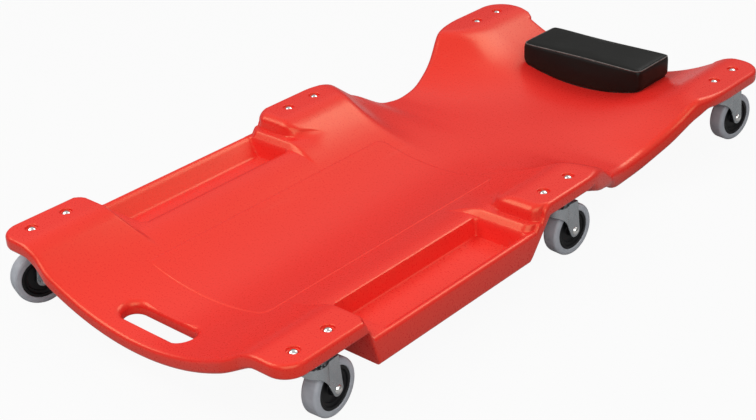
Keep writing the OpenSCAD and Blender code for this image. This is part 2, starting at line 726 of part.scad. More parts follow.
module axle_bolt() {
    color([0.8, 0.81, 0.82])
    on_axle() {
        translate([0, 0, fork_gap / 2 + fork_t]) dome(axle_head_r, axle_head_h);
        translate([0, 0, -fork_gap / 2 - fork_t - axle_nut_h - axle_tail])
        cylinder(d = axle_d, h = fork_gap + 2 * fork_t + axle_nut_h + axle_tail);
    }
}

module axle_nut() {
    color([0.62, 0.63, 0.64])
    on_axle() translate([0, 0, -fork_gap / 2 - fork_t - axle_nut_h])
        hex_nut(nut_af, axle_nut_h, axle_d / 2 + seat_gap);
}

module axle_sleeve() {
    color([0.66, 0.67, 0.68])
    on_axle() translate([0, 0, side_play - fork_gap / 2]) difference() {
        cylinder(r = bore_r + sleeve_t, h = fork_gap - 2 * side_play);
        translate([0, 0, -over]) cylinder(r = bore_r, h = fork_gap + 2 * over);
    }
}

module wheel_hub() {
    hub_r = bore_r + sleeve_t + play;
    web_r = hub_r + boss_t - over;
    web_l = rim_r - rim_t + over - web_r;
    rim_w = wheel_w - 2 * rim_in;
    color([0.07, 0.07, 0.07])
    on_axle() {
        rotate_extrude() {
            translate([hub_r, boss_play - fork_gap / 2]) square([boss_t, fork_gap - 2 * boss_play]);
            translate([web_r, -web_t / 2]) square([web_l, web_t]);
            translate([rim_r - rim_t, -rim_w / 2]) square([rim_t - seat_gap, rim_w]);
        }
        for (a = [0:rib_count - 1]) rotate([0, 0, a * 360 / rib_count])
            translate([web_r, -rib_t / 2, -rim_w / 2 + rib_in]) cube([web_l, rib_t, rim_w - 2 * rib_in]);
    }
}

module wheel_tread() {
    color([0.62, 0.64, 0.66])
    on_axle() rotate_extrude($fn = 96) {
        translate([rim_r, -wheel_w / 2]) square([tread_t - shoulder_r, wheel_w]);
        translate([rim_r, shoulder_r - wheel_w / 2]) square([tread_t, wheel_w - 2 * shoulder_r]);
        for (s = [-1, 1]) translate([rim_r + tread_t - shoulder_r, s * (wheel_w / 2 - shoulder_r)])
            circle(r = shoulder_r, $fn = 32);
    }
}

deck_shell();
deck_bolts();
deck_nuts();
headrest_board();
headrest_foam();
headrest_cover();
headrest_screws();
upper_balls();
lower_balls();
lower_cups();
kingpins();
at_pad(0) caster_plate();  // foot_left_plate
at_caster(0) caster_fork();  // foot_left_fork
at_caster(0) axle_bolt();  // foot_left_axle_bolt
at_caster(0) axle_nut();  // foot_left_axle_nut
at_caster(0) axle_sleeve();  // foot_left_sleeve
at_caster(0) wheel_hub();  // foot_left_hub
at_caster(0) wheel_tread();  // foot_left_tread
at_pad(1) caster_plate();  // mid_left_plate
at_caster(1) caster_fork();  // mid_left_fork
at_caster(1) axle_bolt();  // mid_left_axle_bolt
at_caster(1) axle_nut();  // mid_left_axle_nut
at_caster(1) axle_sleeve();  // mid_left_sleeve
at_caster(1) wheel_hub();  // mid_left_hub
at_caster(1) wheel_tread();  // mid_left_tread
at_pad(2) caster_plate();  // head_left_plate
at_caster(2) caster_fork();  // head_left_fork
at_caster(2) axle_bolt();  // head_left_axle_bolt
at_caster(2) axle_nut();  // head_left_axle_nut
at_caster(2) axle_sleeve();  // head_left_sleeve
at_caster(2) wheel_hub();  // head_left_hub
at_caster(2) wheel_tread();  // head_left_tread
at_pad(3) caster_plate();  // foot_right_plate
at_caster(3) caster_fork();  // foot_right_fork
at_caster(3) axle_bolt();  // foot_right_axle_bolt
at_caster(3) axle_nut();  // foot_right_axle_nut
at_caster(3) axle_sleeve();  // foot_right_sleeve
at_caster(3) wheel_hub();  // foot_right_hub
at_caster(3) wheel_tread();  // foot_right_tread
at_pad(4) caster_plate();  // mid_right_plate
at_caster(4) caster_fork();  // mid_right_fork
at_caster(4) axle_bolt();  // mid_right_axle_bolt
at_caster(4) axle_nut();  // mid_right_axle_nut
at_caster(4) axle_sleeve();  // mid_right_sleeve
at_caster(4) wheel_hub();  // mid_right_hub
at_caster(4) wheel_tread();  // mid_right_tread
at_pad(5) caster_plate();  // head_right_plate
at_caster(5) caster_fork();  // head_right_fork
at_caster(5) axle_bolt();  // head_right_axle_bolt
at_caster(5) axle_nut();  // head_right_axle_nut
at_caster(5) axle_sleeve();  // head_right_sleeve
at_caster(5) wheel_hub();  // head_right_hub
at_caster(5) wheel_tread();  // head_right_tread
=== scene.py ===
# %% [markdown]
# # A mechanic's creeper
# A creeper is a low board on casters, on which a mechanic lies to work under a car. The solid
# model is loaded first and stays where it is. Each later cell gives one piece of it the shape
# and the finish that the eye sees, and says why it was made that way.

# %% Load the solid model
import json
import math
import bmesh
import bpy
import numpy as np
from mathutils import Matrix, Vector
from mathutils.bvhtree import BVHTree


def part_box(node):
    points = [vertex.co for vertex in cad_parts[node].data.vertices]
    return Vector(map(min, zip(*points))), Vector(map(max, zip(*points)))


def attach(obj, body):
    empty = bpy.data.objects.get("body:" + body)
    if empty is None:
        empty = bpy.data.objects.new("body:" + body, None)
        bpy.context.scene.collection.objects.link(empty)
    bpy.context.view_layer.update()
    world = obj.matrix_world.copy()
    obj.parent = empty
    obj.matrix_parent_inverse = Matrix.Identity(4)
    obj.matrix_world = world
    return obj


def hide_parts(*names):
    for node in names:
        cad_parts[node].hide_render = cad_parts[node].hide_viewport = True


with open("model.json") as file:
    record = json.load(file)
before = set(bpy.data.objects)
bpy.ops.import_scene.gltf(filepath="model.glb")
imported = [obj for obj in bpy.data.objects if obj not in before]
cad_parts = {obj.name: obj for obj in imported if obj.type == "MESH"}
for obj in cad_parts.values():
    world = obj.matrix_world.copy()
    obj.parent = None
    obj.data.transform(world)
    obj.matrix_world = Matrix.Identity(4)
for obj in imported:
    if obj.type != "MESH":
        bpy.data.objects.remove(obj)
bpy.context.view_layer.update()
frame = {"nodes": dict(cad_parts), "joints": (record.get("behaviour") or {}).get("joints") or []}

MM = 0.001

# %% [markdown]
# ## The camera
# A picture can only be compared with a photograph when both are seen from the same place. The
# camera looks down on the foot end from the right, so the lens, the point it looks at and the
# small roll are plain numbers. They are set before any piece is made.

# %% Set the camera
LENS_MM, DISTANCE, TARGET = 69.046, 1.71171, Vector((0.08521, -0.17199, 0.1030))
AZIMUTH, ELEVATION, ROLL = math.radians(42.3), math.radians(27.73), math.radians(-2.65)
back = Vector((math.sin(AZIMUTH) * math.cos(ELEVATION), -math.cos(AZIMUTH) * math.cos(ELEVATION),
               math.sin(ELEVATION)))
level = (-back).cross(Vector((0, 0, 1))).normalized()
upright = level.cross(-back)
right = level * math.cos(ROLL) + upright * math.sin(ROLL)
above = upright * math.cos(ROLL) - level * math.sin(ROLL)
pose = Matrix((right, above, back)).transposed().to_4x4()
pose.translation = TARGET + back * DISTANCE
camera = bpy.data.objects.new("camera", bpy.data.cameras.new("camera"))
camera.data.sensor_width, camera.data.lens, camera.data.clip_end = 36, LENS_MM, 50
camera.matrix_world = pose
bpy.context.scene.collection.objects.link(camera)
bpy.context.scene.camera = camera
print("camera at", [round(c, 3) for c in pose.translation])

# %% [markdown]
# ## The background
# Product pictures are taken in a white tent. Here the tent is a world that is dark near the
# horizon and bright above it, so the bed mirrors a soft change from one to the other. The
# background is white for the camera, and reflections see only a small share of that white. That
# way it doesn't throw more light on the creeper.

# %% Set up the background
scene = bpy.context.scene
scene.view_settings.view_transform = "Standard"
SKY = {"From Min": 0.40, "From Max": 0.48, "To Min": 0.05, "To Max": 0.53}
BACKGROUND_GLOSS = 0.12


def white_share(tree, to_camera, to_gloss):
    """How much of a white is shown: to the camera, also through glass, and to reflections."""
    rays, told = tree.nodes.new("ShaderNodeLightPath"), None
    shares = {"Is Camera Ray": to_camera, "Is Transmission Ray": to_camera,
              "Is Glossy Ray": to_gloss}
    for ray, share in shares.items():
        part = tree.nodes.new("ShaderNodeMath")
        part.operation, part.inputs[1].default_value = "MULTIPLY", share
        tree.links.new(rays.outputs[ray], part.inputs[0])
        if told is not None:
            most = tree.nodes.new("ShaderNodeMath")
            most.operation = "MAXIMUM"
            tree.links.new(told, most.inputs[0])
            tree.links.new(part.outputs[0], most.inputs[1])
            part = most
        told = part.outputs[0]
    return told


world = bpy.data.worlds.new("tent")
scene.world = world
world.use_nodes = True
nodes, links = world.node_tree.nodes, world.node_tree.links
nodes.clear()
output, mix = nodes.new("ShaderNodeOutputWorld"), nodes.new("ShaderNodeMixShader")
around, shown = nodes.new("ShaderNodeBackground"), nodes.new("ShaderNodeBackground")
way, split, height = (nodes.new("ShaderNodeTexCoord"), nodes.new("ShaderNodeSeparateXYZ"),
                      nodes.new("ShaderNodeMapRange"))
links.new(way.outputs["Generated"], split.inputs[0])
links.new(split.outputs["Z"], height.inputs["Value"])
height.interpolation_type = "SMOOTHSTEP"
for socket, value in SKY.items():
    height.inputs[socket].default_value = value
links.new(height.outputs["Result"], around.inputs["Strength"])
around.inputs["Color"].default_value = shown.inputs["Color"].default_value = (1, 1, 1, 1)
shown.inputs["Strength"].default_value = 1.0
links.new(white_share(world.node_tree, 1.0, BACKGROUND_GLOSS), mix.inputs[0])
links.new(around.outputs[0], mix.inputs[1])
links.new(shown.outputs[0], mix.inputs[2])
links.new(mix.outputs[0], output.inputs[0])
print("background:", world.name, "with a sky of", SKY["To Min"], "to", SKY["To Max"])

# %% [markdown]
# ## The lamps
# Three large lamps shine from the left, from behind and from the front right. They draw the
# light bands on the rounded edges. They are large, because small ones leave hard white spots on
# the shiny plastic.

# %% Place the lamps


def lamp(name, place, aim, size, power):
    """A square area lamp at a place, turned to face a point."""
    light = bpy.data.lights.new(name, "AREA")
    light.size, light.energy = size, power
    holder = bpy.data.objects.new(name, light)
    holder.location = place
    holder.rotation_euler = (Vector(aim) - Vector(place)).to_track_quat("-Z", "Y").to_euler()
    scene.collection.objects.link(holder)


lamp("left_lamp", (-1.15, -1.1, 1.75), (0, -0.1, 0), 1.4, 22)
lamp("back_lamp", (0.2, 1.55, 1.8), (0, 0, 0), 1.1, 14)
lamp("front_lamp", (1.35, -1.2, 1.3), (0, -0.05, 0.05), 1.8, 22)

# %% [markdown]
# ## Helpers
# Every new piece is modelled in millimetres, because that is how a maker thinks of it. One
# helper turns it into a Blender object in metres. It marks edges that are sharp on the real
# piece, so that the rest shades smoothly. Another one lets a piece ride on its body, gives it
# its finish and hides the solids that it stands for.

# %% Define the helpers
SHARP_FROM = 38


def shade(mesh_edit, limit=SHARP_FROM):
    """Smooth faces, with edges that turn by more than the limit, in degrees, left sharp."""
    for face in mesh_edit.faces:
        face.smooth = True
    for edge in mesh_edit.edges:
        edge.smooth = len(edge.link_faces) == 2 and edge.calc_face_angle(0) < math.radians(limit)


def make_object(name, mesh_edit, limit=SHARP_FROM):
    """Turns a bmesh in millimetres into an object in metres at the origin."""
    bmesh.ops.scale(mesh_edit, vec=(MM, MM, MM), verts=mesh_edit.verts)
    shade(mesh_edit, limit)
    mesh = bpy.data.meshes.new(name)
    mesh_edit.to_mesh(mesh)
    mesh_edit.free()
    made = bpy.data.objects.new(name, mesh)
    scene.collection.objects.link(made)
    return made


def fit(piece, body, finish, slot, *stands_for):
    """Lets a piece ride on its body, gives it a finish, and hides the solids it stands for."""
    piece.data.materials.clear()
    piece.data.materials.append(finish)
    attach(piece, body)
    if stands_for:
        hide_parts(*stands_for)
    print(piece.name, "on", body, "with", len(piece.data.polygons), "faces")


def final_mesh(piece):
    """The mesh of a piece with its modifiers carried out."""
    return bpy.data.meshes.new_from_object(
        piece.evaluated_get(bpy.context.evaluated_depsgraph_get()))


def cut(piece, cutter, operation="DIFFERENCE"):
    """Cuts one object with another and keeps the result as the piece's own mesh."""
    step = piece.modifiers.new("cut", "BOOLEAN")
    step.object, step.operation, step.solver = cutter, operation, "EXACT"
    bpy.context.view_layer.update()
    result = final_mesh(piece)
    piece.modifiers.clear()
    old, piece.data = piece.data, result
    bpy.data.meshes.remove(old)
    bpy.data.objects.remove(cutter)


def reshade(piece, limit):
    """Marks sharp edges again after a cut."""
    mesh_edit = bmesh.new()
    mesh_edit.from_mesh(piece.data)
    shade(mesh_edit, limit)
    mesh_edit.to_mesh(piece.data)
    mesh_edit.free()


print("helpers ready, edges are sharp from", SHARP_FROM, "degrees")

# %% [markdown]
# ## Helpers for finishes
# No real surface is the same all over. So a finish is built from noise patterns whose size is
# given in millimetres: a ramp turns a pattern into a colour or a roughness, a mix lays one
# colour over another, and a bump lets the light show the grain.

# %% Define the helpers for finishes
COLOUR, ROUGHNESS, RELIEF = "Base Color", "Roughness", "Normal"
EXTRAS = {"metal": "Metallic", "shine": "Specular IOR Level", "tint": "Specular Tint"}


def new_finish(name, colour, roughness, **extras):
    """A material with a colour, a roughness and, if given, its metal, shine and tint."""
    finish = bpy.data.materials.new(name)
    finish.use_nodes = True
    inputs = finish.node_tree.nodes["Principled BSDF"].inputs
    inputs[COLOUR].default_value, inputs[ROUGHNESS].default_value = (*colour, 1), roughness
    for word, value in extras.items():
        inputs[EXTRAS[word]].default_value = value
    return finish


def feed(finish, socket, value):
    """Lets a pattern set one value of a finish from place to place."""
    finish.node_tree.links.new(value, finish.node_tree.nodes["Principled BSDF"].inputs[socket])


def add_noise(finish, size_mm, detail=3.0, stretch=(1, 1, 1)):
    """A noise pattern whose blobs are about that many millimetres across."""
    tree = finish.node_tree
    place = tree.nodes.get("Texture Coordinate") or tree.nodes.new("ShaderNodeTexCoord")
    turn, noise = tree.nodes.new("ShaderNodeMapping"), tree.nodes.new("ShaderNodeTexNoise")
    turn.inputs["Scale"].default_value = stretch
    noise.inputs["Scale"].default_value = 1000 / size_mm / 2
    noise.inputs["Detail"].default_value = detail
    tree.links.new(place.outputs["Object"], turn.inputs["Vector"])
    tree.links.new(turn.outputs["Vector"], noise.inputs["Vector"])
    return noise.outputs["Fac"]


def add_ramp(finish, value, *stops):
    """Turns a value into a colour through stops of place and colour, or of place and grey."""
    tree = finish.node_tree
    ramp = tree.nodes.new("ShaderNodeValToRGB")
    while len(ramp.color_ramp.elements) < len(stops):
        ramp.color_ramp.elements.new(0.5)
    for element, (place, colour) in zip(ramp.color_ramp.elements, stops):
        colour = colour if isinstance(colour, tuple) else (colour,) * 3
        element.position, element.color = place, (*colour, 1)
    tree.links.new(value, ramp.inputs[0])
    return ramp.outputs["Color"]


def add_mix(finish, share, first, second):
    """Mixes two colours by a share."""
    tree = finish.node_tree
    mixed = tree.nodes.new("ShaderNodeMix")
    mixed.data_type = "RGBA"
    for socket, value in zip((mixed.inputs[i] for i in (0, 6, 7)), (share, first, second)):
        if isinstance(value, (float, int)):
            socket.default_value = value
        elif isinstance(value, tuple):
            socket.default_value = (*value, 1)
        else:
            tree.links.new(value, socket)
    return mixed.outputs[2]


def add_bump(finish, height, strength, depth_mm, below=None):
    """Adds a bump whose full height is that many millimetres."""
    tree = finish.node_tree
    bump = tree.nodes.new("ShaderNodeBump")
    bump.inputs["Strength"].default_value = strength
    bump.inputs["Distance"].default_value = depth_mm * MM
    tree.links.new(height, bump.inputs["Height"])
    if below is not None:
        tree.links.new(below, bump.inputs["Normal"])
    return bump.outputs["Normal"]


print("a finish can be given its", ", ".join(EXTRAS))

# %% [markdown]
# ## The finish of the deck
# The deck is blow-moulded plastic, which comes out of the mould with a fine grain and a soft
# shine. The colour is one pigment all through, so it varies only a little. Handling leaves
# faint pale scuffs along the board. Two sizes of bump give the grain and the slight waviness of
# the skin. The tint of the shine is a little warm, because the red shows through it.

# %% Make the plastic
DECK_RED = (0.78, 0.028, 0.024)
DEEP_RED, LIGHT_RED, SCUFF_RED = (0.77, 0.021, 0.017), (0.81, 0.025, 0.019), (0.85, 0.20, 0.16)
plastic = new_finish("moulded_plastic", DECK_RED, 0.4, shine=0.6, tint=(1.0, 0.86, 0.45, 1))
cloudy = add_noise(plastic, 60, 2)
speck = add_noise(plastic, 1.1, 3)
tone = add_mix(plastic, cloudy, DEEP_RED, LIGHT_RED)
scuff = add_ramp(plastic, add_noise(plastic, 9, 6, (1, 0.12, 1)), (0.66, 0.0), (0.74, 0.05))
feed(plastic, COLOUR, add_mix(plastic, scuff, tone, SCUFF_RED))
feed(plastic, ROUGHNESS, add_ramp(plastic, speck, (0.3, 0.26), (0.7, 0.32)))
wavy = add_bump(plastic, add_noise(plastic, 40, 1), 0.25, 0.5)
feed(plastic, RELIEF, add_bump(plastic, speck, 0.08, 0.04, wavy))
print("finish:", plastic.name)

# %% [markdown]
# ## The moulded deck: its sizes
# The deck is one shell. Its bed is a trough with one radius from end to end. The six pads that
# carry the casters and the rims of the two tool trays cut that trough off at their own heights,
# and a waist draws the sides in below the shoulders. Most of these sizes are the solid model's.
# The pocket's outer slope, the ledge's run and the pad's rounded face are taken from the
# photograph instead.
# The waist's table has the place along it, how far the side is drawn in, and the shares of the
# trough's depth on the upper and on the under side.

# %% State the sizes of the deck
HALF_L, HALF_W = 489.0, 239.0
PAD_Z, BED_Z, BED_R, BED_T = 103.5, 50.0, 329.88, 17.0
UNDER_Z, PAD_UNDER_Z, TRAY_UNDER_Z = 33.0, 85.5, 39.5
EDGE_R, BLEND_R = 5.0, 10.0
TRAY_Z, POCKET_D = 76.5, 22.0
POCKET = (155.5, 236.0, -332.0, -77.0)
POCKET_R, POCKET_SLOPE = 8.0, 4.2
POCKET_OUT_X, POCKET_OUT_SLOPE = 231.5, 1.05
SLOPE_SOFT, RIM_SOFT, FLOOR_SOFT, LEDGE_SOFT = 6.0, 5.0, 2.0, 2.5
TRAY_FOOT, TRAY_HEAD, TRAY_SIDE = (-362.0, 14.0), (-38.0, 38.0), (140.0, 149.0)
LEDGE_Y, LEDGE_RUN, LEDGE_Z = -76.0, 6.0, 84.5
FACE_Y, FACE_RUN, FACE_SHARE, FACE_ROUND = -61.0, 1.0, 0.40, 14.0
CORNER_OUT_R, CORNER_OUT_X = 14.0, 222.0
CORNER_IN_R, CORNER_IN_X, CORNER_IN_MOST = 28.0, 185.1, 30.0
MID_END_Y, MID_END_R, MID_END_FADE = 62.0, 48.0, (182.0, 242.0)
WAIST_Y, WAIST_L, WAIST_IN = 30.0, 360.0, 42.3
WAIST_EDGE_R, WAIST_EDGE_FROM, WAIST_EDGE_TO = 10.0, (40.0, 75.0), (315.0, 385.0)
FOOT_SLOPE = (-363.0, -347.0)
FOOT_R, FOOT_BACK, FOOT_BACK_X = 28.0, 5.0, (140.0, 172.0)
HEAD_R, HEAD_BACK, HEAD_BACK_X = 38.0, 9.0, (163.0, 172.0)
END_FAN, STRAIGHT_TO, BENT_FADE = 56.0, -68.7, (-53.0, -5.0)
PANEL = (-97.0, 97.0, -377.0, 41.0)
PANEL_R, PANEL_H, PANEL_RUN = 12.0, 0.8, 1.6
SLOT_Y, SLOT_L, SLOT_W = -447.5, 110.0, 31.0
PAD_X, PAD_Y = (214.7, 213.3, 207.3), (-424.5, 9.0, 424.5)
BOLT_GAP, BOLT_HOLE_R, RECESS_R, RECESS_D = 51.0, 3.3, 7.5, 3.5
REST_Y = 416.0
WAIST = np.array([
    [0.000, 0.000, 1.00, 1.00], [0.040, 0.000, 1.00, 1.00], [0.085, 0.020, 1.00, 0.54],
    [0.120, 0.075, 0.80, 0.45], [0.150, 0.120, 0.62, 0.41], [0.180, 0.165, 0.49, 0.39],
    [0.220, 0.260, 0.37, 0.33], [0.280, 0.590, 0.22, 0.20], [0.340, 0.840, 0.06, 0.02],
    [0.390, 0.935, 0.01, -0.16], [0.460, 0.970, -0.02, -0.19], [0.560, 0.920, 0.05, -0.12],
    [0.640, 0.785, 0.19, 0.04], [0.720, 0.595, 0.37, 0.23], [0.800, 0.335, 0.60, 0.48],
    [0.870, 0.105, 0.83, 0.63], [0.940, 0.020, 0.96, 0.92], [1.000, 0.000, 1.00, 1.00]])
print("deck", 2 * HALF_L, "by", 2 * HALF_W, "mm")

# %% [markdown]
# ## The moulded deck: its blends
# A mould maker would sweep and blend surfaces. Here the same form is a height at each place, so
# the blends are small functions of a place. One rises smoothly, one swells like a quarter of a
# circle, and one takes the lower of two heights with a soft crease, as a fillet does.

# %% Define the blends


def rise(start, end, value):
    """From 0 at the start to 1 at the end, level at both."""
    share = np.clip((value - start) / (end - start), 0, 1)
    return share * share * (3 - 2 * share)


def swell(start, end, value):
    """From 0 to 1 as a quarter of a circle does, steep at the start."""
    share = np.clip((value - start) / (end - start), 0, 1)
    return np.sqrt(1 - (1 - share) ** 2)


def trough(radius, x):
    """How far a round trough has risen beside its middle."""
    return radius - np.sqrt(radius * radius - x * x)


def lower_of(first, second, size):
    """The lower of two heights, with a soft crease between them."""
    near = np.maximum(size - np.abs(first - second), 0) / size
    return np.minimum(first, second) - near * near * size / 4


def higher_of(first, second, size):
    """The higher of two heights, with a soft crease between them."""
    return -lower_of(-first, -second, size)


def waist(column, y):
    """A column of the waist's table, on a smooth curve through the table's points."""
    t = np.clip((y - WAIST_Y) / WAIST_L, 0, 1)
    place, value = WAIST[:, 0], WAIST[:, column]
    slope = np.empty(len(place))
    slope[1:-1] = (value[2:] - value[:-2]) / (place[2:] - place[:-2])
    ends = np.diff(value) / np.diff(place)
    slope[0], slope[-1] = ends[0], ends[-1]
    i = np.clip(np.searchsorted(place, t, side="right") - 1, 0, len(place) - 2)
    width = place[i + 1] - place[i]
    s = (t - place[i]) / width
    return (value[i] * (1 + 2 * s) * (1 - s) ** 2 + slope[i] * width * s * (1 - s) ** 2
            + value[i + 1] * s * s * (3 - 2 * s) - slope[i + 1] * width * s * s * (1 - s))


def inside(x, y, low_x, high_x, low_y, high_y, corner):
    """How far a place lies inside a rectangle with round corners, in millimetres."""
    dx = np.abs(x - (low_x + high_x) / 2) - (high_x - low_x) / 2 + corner
    dy = np.abs(y - (low_y + high_y) / 2) - (high_y - low_y) / 2 + corner
    past = np.hypot(np.maximum(dx, 0), np.maximum(dy, 0))
    return corner - past - np.minimum(np.maximum(dx, dy), 0)


print("a third of the way up a blend:", round(float(rise(0, 3, 1)), 3))

# %% [markdown]
# ## The moulded deck: its heights
# A grid of points is later lifted to these heights, which keeps the surface smooth and lets
# every blend have its own size. The trough is cut off by the ceiling of pads, ledges and tray
# rims. The pockets are sunk into it, and the thin back panel is laid on the bed.

# %% Define the heights of the deck


def corner_out(x):
    """How far the outer corners of the mid pads' front stand back."""
    return trough(CORNER_OUT_R, np.clip(np.abs(x) - CORNER_OUT_X, 0, CORNER_OUT_R))


def corner_in(x):
    """How far the inner corners stand back: an arc that runs out along its own slope."""
    past = np.maximum(CORNER_IN_X - np.abs(x), 0)
    bend = CORNER_IN_R * 0.8
    straight = np.maximum(past - bend, 0) * 4 / 3
    return np.minimum(trough(CORNER_IN_R, np.minimum(past, bend)) + straight, CORNER_IN_MOST)


def ceiling(x, y):
    """The height that pads, ledges and tray rims set over the trough."""
    t = y - 1.5 * corner_out(x) - LEDGE_Y
    slope = TRAY_Z + (LEDGE_Z - TRAY_Z) * t / LEDGE_RUN
    ledge = np.where(t <= 0, TRAY_Z, lower_of(slope, LEDGE_Z + 0 * t, LEDGE_SOFT))
    lean = corner_in(x) + corner_out(x) / 2
    t = y - corner_out(x) - corner_in(x) / 2 - FACE_Y
    run = FACE_RUN + lean
    round_face = swell(run, run + FACE_ROUND + lean / 3, t)
    front = FACE_SHARE * np.clip(t / run, 0, 1) + (1 - FACE_SHARE) * round_face
    end = np.minimum(PAD_Z - TRAY_Z, np.maximum(y - MID_END_Y, 0) ** 2 / MID_END_R / 2)
    end = end * (1 - rise(*MID_END_FADE, y))
    step = (PAD_Z - np.minimum(ledge, LEDGE_Z)) * (1 - front)
    return PAD_Z - end - step * rise(*FOOT_SLOPE, y + corner_out(x))


def top_height(x, y):
    """The upper side: trough and pads, less the pockets, with the thin panel on the bed."""
    across = np.abs(x)
    bed = BED_Z + waist(2, y) * trough(BED_R, across)
    height = lower_of(bed, ceiling(x, y), BLEND_R)
    wall = (inside(across, y, *POCKET, POCKET_R) - 1.0) * POCKET_SLOPE
    wall = lower_of(wall, (POCKET_OUT_X - across) * POCKET_OUT_SLOPE, SLOPE_SOFT)
    depth = lower_of(higher_of(wall, 0 * wall, RIM_SOFT), POCKET_D + 0 * wall, FLOOR_SOFT)
    panel = PANEL_H * rise(0, PANEL_RUN, inside(x, y, *PANEL, PANEL_R))
    return height - depth + panel


def under_height(x, y):
    """The under side: the trough's back, with a deeper box under each tray."""
    across = np.abs(x)
    bed = UNDER_Z + waist(3, y) * trough(BED_R + BED_T, across)
    bed = lower_of(bed, PAD_UNDER_Z + 0 * x, BED_T / 4)
    foot = np.clip((y - TRAY_FOOT[0]) / TRAY_FOOT[1], 0, 1)
    head = np.clip((TRAY_HEAD[0] - y) / TRAY_HEAD[1], 0, 1)
    return bed - (bed - TRAY_UNDER_Z) * np.minimum(foot, head) * rise(*TRAY_SIDE, across)


for spot in ((110.0, -200.0), (195.0, -200.0), (215.0, 0.0)):
    print("height at", spot, "is", round(float(top_height(*np.array(spot)[:, None])[0]), 2), "mm")

# %% [markdown]
# ## The moulded deck: its outline
# The grid starts as a plain rectangle. Its points are moved sideways into the waist, round the
# corners of the mid pads, and at both ends into the deck's round corners. So the grid's lines
# follow the forms, and the light runs along them nearly without breaks.

# %% Define the outline of the deck


def edge_radius(y):
    """Rounding of the long edges, which is larger along the waist."""
    share = rise(*WAIST_EDGE_FROM, y) * (1 - rise(*WAIST_EDGE_TO, y))
    return EDGE_R + (WAIST_EDGE_R - EDGE_R) * share


def end_place(x, corner, line, way):
    """Where a lengthwise line of the grid ends, with the deck's round corners."""
    turn = np.radians(90 * np.clip((np.abs(x) - HALF_W + corner) / (corner - EDGE_R), 0, 1))
    bend = corner - EDGE_R
    cornered = turn > 0
    px = np.where(cornered, np.sign(x) * (HALF_W - corner + bend * np.sin(turn)), x)
    py = line + way * np.where(cornered, EDGE_R + bend * (1 - np.cos(turn)), EDGE_R)
    return px, py


def plan_place(x, y, rows):
    """Moves a point of the straight grid to its place in the deck's outline."""
    across = np.abs(x)
    foot_line = -HALF_L + FOOT_BACK * rise(*FOOT_BACK_X, across)
    head_line = HALF_L - HEAD_BACK * (1 - rise(*HEAD_BACK_X, across))
    side = HALF_W - WAIST_IN * waist(1, y)
    px = x * (side - edge_radius(y)) / (HALF_W - EDGE_R)
    bent = (corner_out(px) * np.clip(y - POCKET[3], 0, 1)
            + corner_in(px) * np.clip((y - STRAIGHT_TO) / 4, 0, 1))
    py = y + bent * (1 - rise(*BENT_FADE, y))
    foot, head = (FOOT_R, foot_line, 1, rows[0]), (HEAD_R, head_line, -1, rows[-1])
    for corner, line, way, first in (foot, head):
        ex, ey = end_place(x, corner, line, way)
        share = (y - first) * way / END_FAN
        near = share < 1
        px = np.where(near, ex + (x - ex) * share, px)
        py = np.where(near, ey + (first + way * END_FAN - ey) * share, py)
    return px, py


print("narrowest at the waist:", round(2 * float(np.min(HALF_W - WAIST_IN * WAIST[:, 1])), 1), "mm")

# %% [markdown]
# ## The moulded deck: its surface
# bmesh makes an even grid, and its lines are drawn close together where the form turns quickly.
# The rounded outer edge is extruded from the grid's border ring by ring, as a quarter of a
# circle, and then to mid height, where the rings of the upper and the under side meet. There a
# mould's two halves leave their parting line.

# %% Build the deck's surface
EDGE_STEPS = 5


def lines(*spans):
    """Places of grid lines, each span being a start, an end and a step."""
    places = []
    for start, end, step in spans:
        count = max(1, round((end - start) / step))
        places += [start + (end - start) * i / count for i in range(count)]
    return places + [spans[-1][1]]


half_lines = lines(
    (0, 84, 12), (84, 95, 2.2), (95, 98, 0.75), (98, 131, 8), (131, 155, 4), (155, 168, 1.3),
    (168, 198, 6), (198, 212, 1.5), (212, HALF_W - EDGE_R, 1.0))
across_lines = np.array([-v for v in half_lines[:0:-1]] + half_lines)
along_lines = np.array(lines(
    (-484, -379, 5), (-379, -375, 0.8), (-375, -362, 2.2), (-362, -346, 2), (-346, -333, 4.3),
    (-333, -319, 1.3), (-319, -90, 12), (-90, -77, 1.3), (-77, -61.3, 0.5), (-61.3, -60.1, 0.4),
    (-60.1, -46, 0.7), (-46, -28, 1.8), (-28, 28, 5), (28, 39, 2.2), (39, 42, 0.75),
    (42, 400, 4.5), (400, 484, 6)))


def surface(mesh_edit, height):
    """A grid lifted to a height, the ring of its border vertices, and their edge radii."""
    nx, ny = len(across_lines), len(along_lines)
    grid = bmesh.ops.create_grid(mesh_edit, x_segments=nx - 1, y_segments=ny - 1, size=1)["verts"]
    at = {(round((vert.co.x + 1) / 2 * (nx - 1)), round((vert.co.y + 1) / 2 * (ny - 1))): vert
          for vert in grid}
    keys = list(at)
    x, y = across_lines[[k[0] for k in keys]], along_lines[[k[1] for k in keys]]
    px, py = plan_place(x, y, along_lines)
    for key, place in zip(keys, zip(px, py, height(px, py))):
        at[key].co = place
    border = [(i, 0) for i in range(nx - 1)] + [(nx - 1, j) for j in range(ny - 1)]
    border += [(i, ny - 1) for i in range(nx - 1, 0, -1)] + [(0, j) for j in range(ny - 1, 0, -1)]
    radii = [float(edge_radius(along_lines[j])) if i in (0, nx - 1) else EDGE_R for i, j in border]
    return [at[key] for key in border], radii


